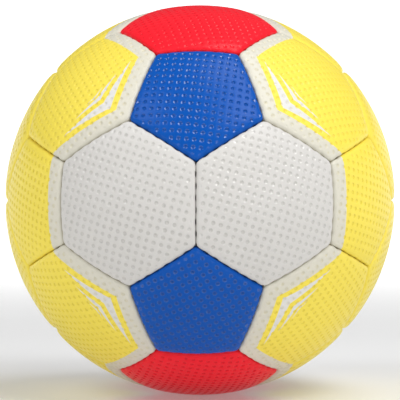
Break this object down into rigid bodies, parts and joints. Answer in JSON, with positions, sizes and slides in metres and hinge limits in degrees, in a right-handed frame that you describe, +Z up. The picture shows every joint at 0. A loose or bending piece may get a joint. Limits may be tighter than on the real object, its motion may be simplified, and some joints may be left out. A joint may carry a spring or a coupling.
{
  "type": "handball",
  "caption": "Sewn ball of six-sided and five-sided leather panels over foam, cloth and an air bladder with a needle valve, for throwing and catching.",
  "frame": {"origin": "the ball's centre", "axes": "+Z up; the side shown in the picture faces -Y; +X to the right seen from there"},
  "size_m": [0.175, 0.1748, 0.1748],
  "materials": {
    "white_leather": "white synthetic leather with a dimpled satin grain",
    "blue_leather": "blue synthetic leather with a dimpled satin grain",
    "red_leather": "red synthetic leather with a dimpled satin grain",
    "yellow_leather": "yellow synthetic leather with a dimpled satin grain and cream printed borders",
    "foam": "soft closed-cell foam sheet",
    "lining_cloth": "woven polyester cotton backing",
    "thread": "waxed pale sewing thread",
    "bladder_rubber": "black latex sheet",
    "valve_rubber": "moulded black rubber"
  },
  "bodies": {
    "root": {"bladder": "bladder_rubber", "blue_pentagon_back_lower": "blue_leather", "blue_pentagon_back_upper": "blue_leather", "blue_pentagon_front_lower": "blue_leather", "blue_pentagon_front_upper": "blue_leather", "hexagon_foam_pads": "foam", "hexagon_hexagon_seam_threads": "thread", "hexagon_linings": "lining_cloth", "hexagon_pentagon_seam_threads": "thread", "pentagon_foam_pads": "foam", "pentagon_linings": "lining_cloth", "red_hexagon_bottom_back": "red_leather", "red_hexagon_bottom_front": "red_leather", "red_hexagon_top_back": "red_leather", "red_hexagon_top_front": "red_leather", "valve_core": "valve_rubber", "valve_housing": "valve_rubber", "valve_patch": "lining_cloth", "white_hexagon_back_left": "white_leather", "white_hexagon_back_right": "white_leather", "white_hexagon_front_left": "white_leather", "white_hexagon_front_right": "white_leather", "yellow_hexagon_back_lower_left": "yellow_leather", "yellow_hexagon_back_lower_right": "yellow_leather", "yellow_hexagon_back_upper_left": "yellow_leather", "yellow_hexagon_back_upper_right": "yellow_leather", "yellow_hexagon_front_lower_left": "yellow_leather", "yellow_hexagon_front_lower_right": "yellow_leather", "yellow_hexagon_front_upper_left": "yellow_leather", "yellow_hexagon_front_upper_right": "yellow_leather", "yellow_hexagon_left_lower": "yellow_leather", "yellow_hexagon_left_upper": "yellow_leather", "yellow_hexagon_right_lower": "yellow_leather", "yellow_hexagon_right_upper": "yellow_leather", "yellow_pentagon_bottom_left": "yellow_leather", "yellow_pentagon_bottom_right": "yellow_leather", "yellow_pentagon_left_back": "yellow_leather", "yellow_pentagon_left_front": "yellow_leather", "yellow_pentagon_right_back": "yellow_leather", "yellow_pentagon_right_front": "yellow_leather", "yellow_pentagon_top_left": "yellow_leather", "yellow_pentagon_top_right": "yellow_leather"}
  },
  "joints": []
}
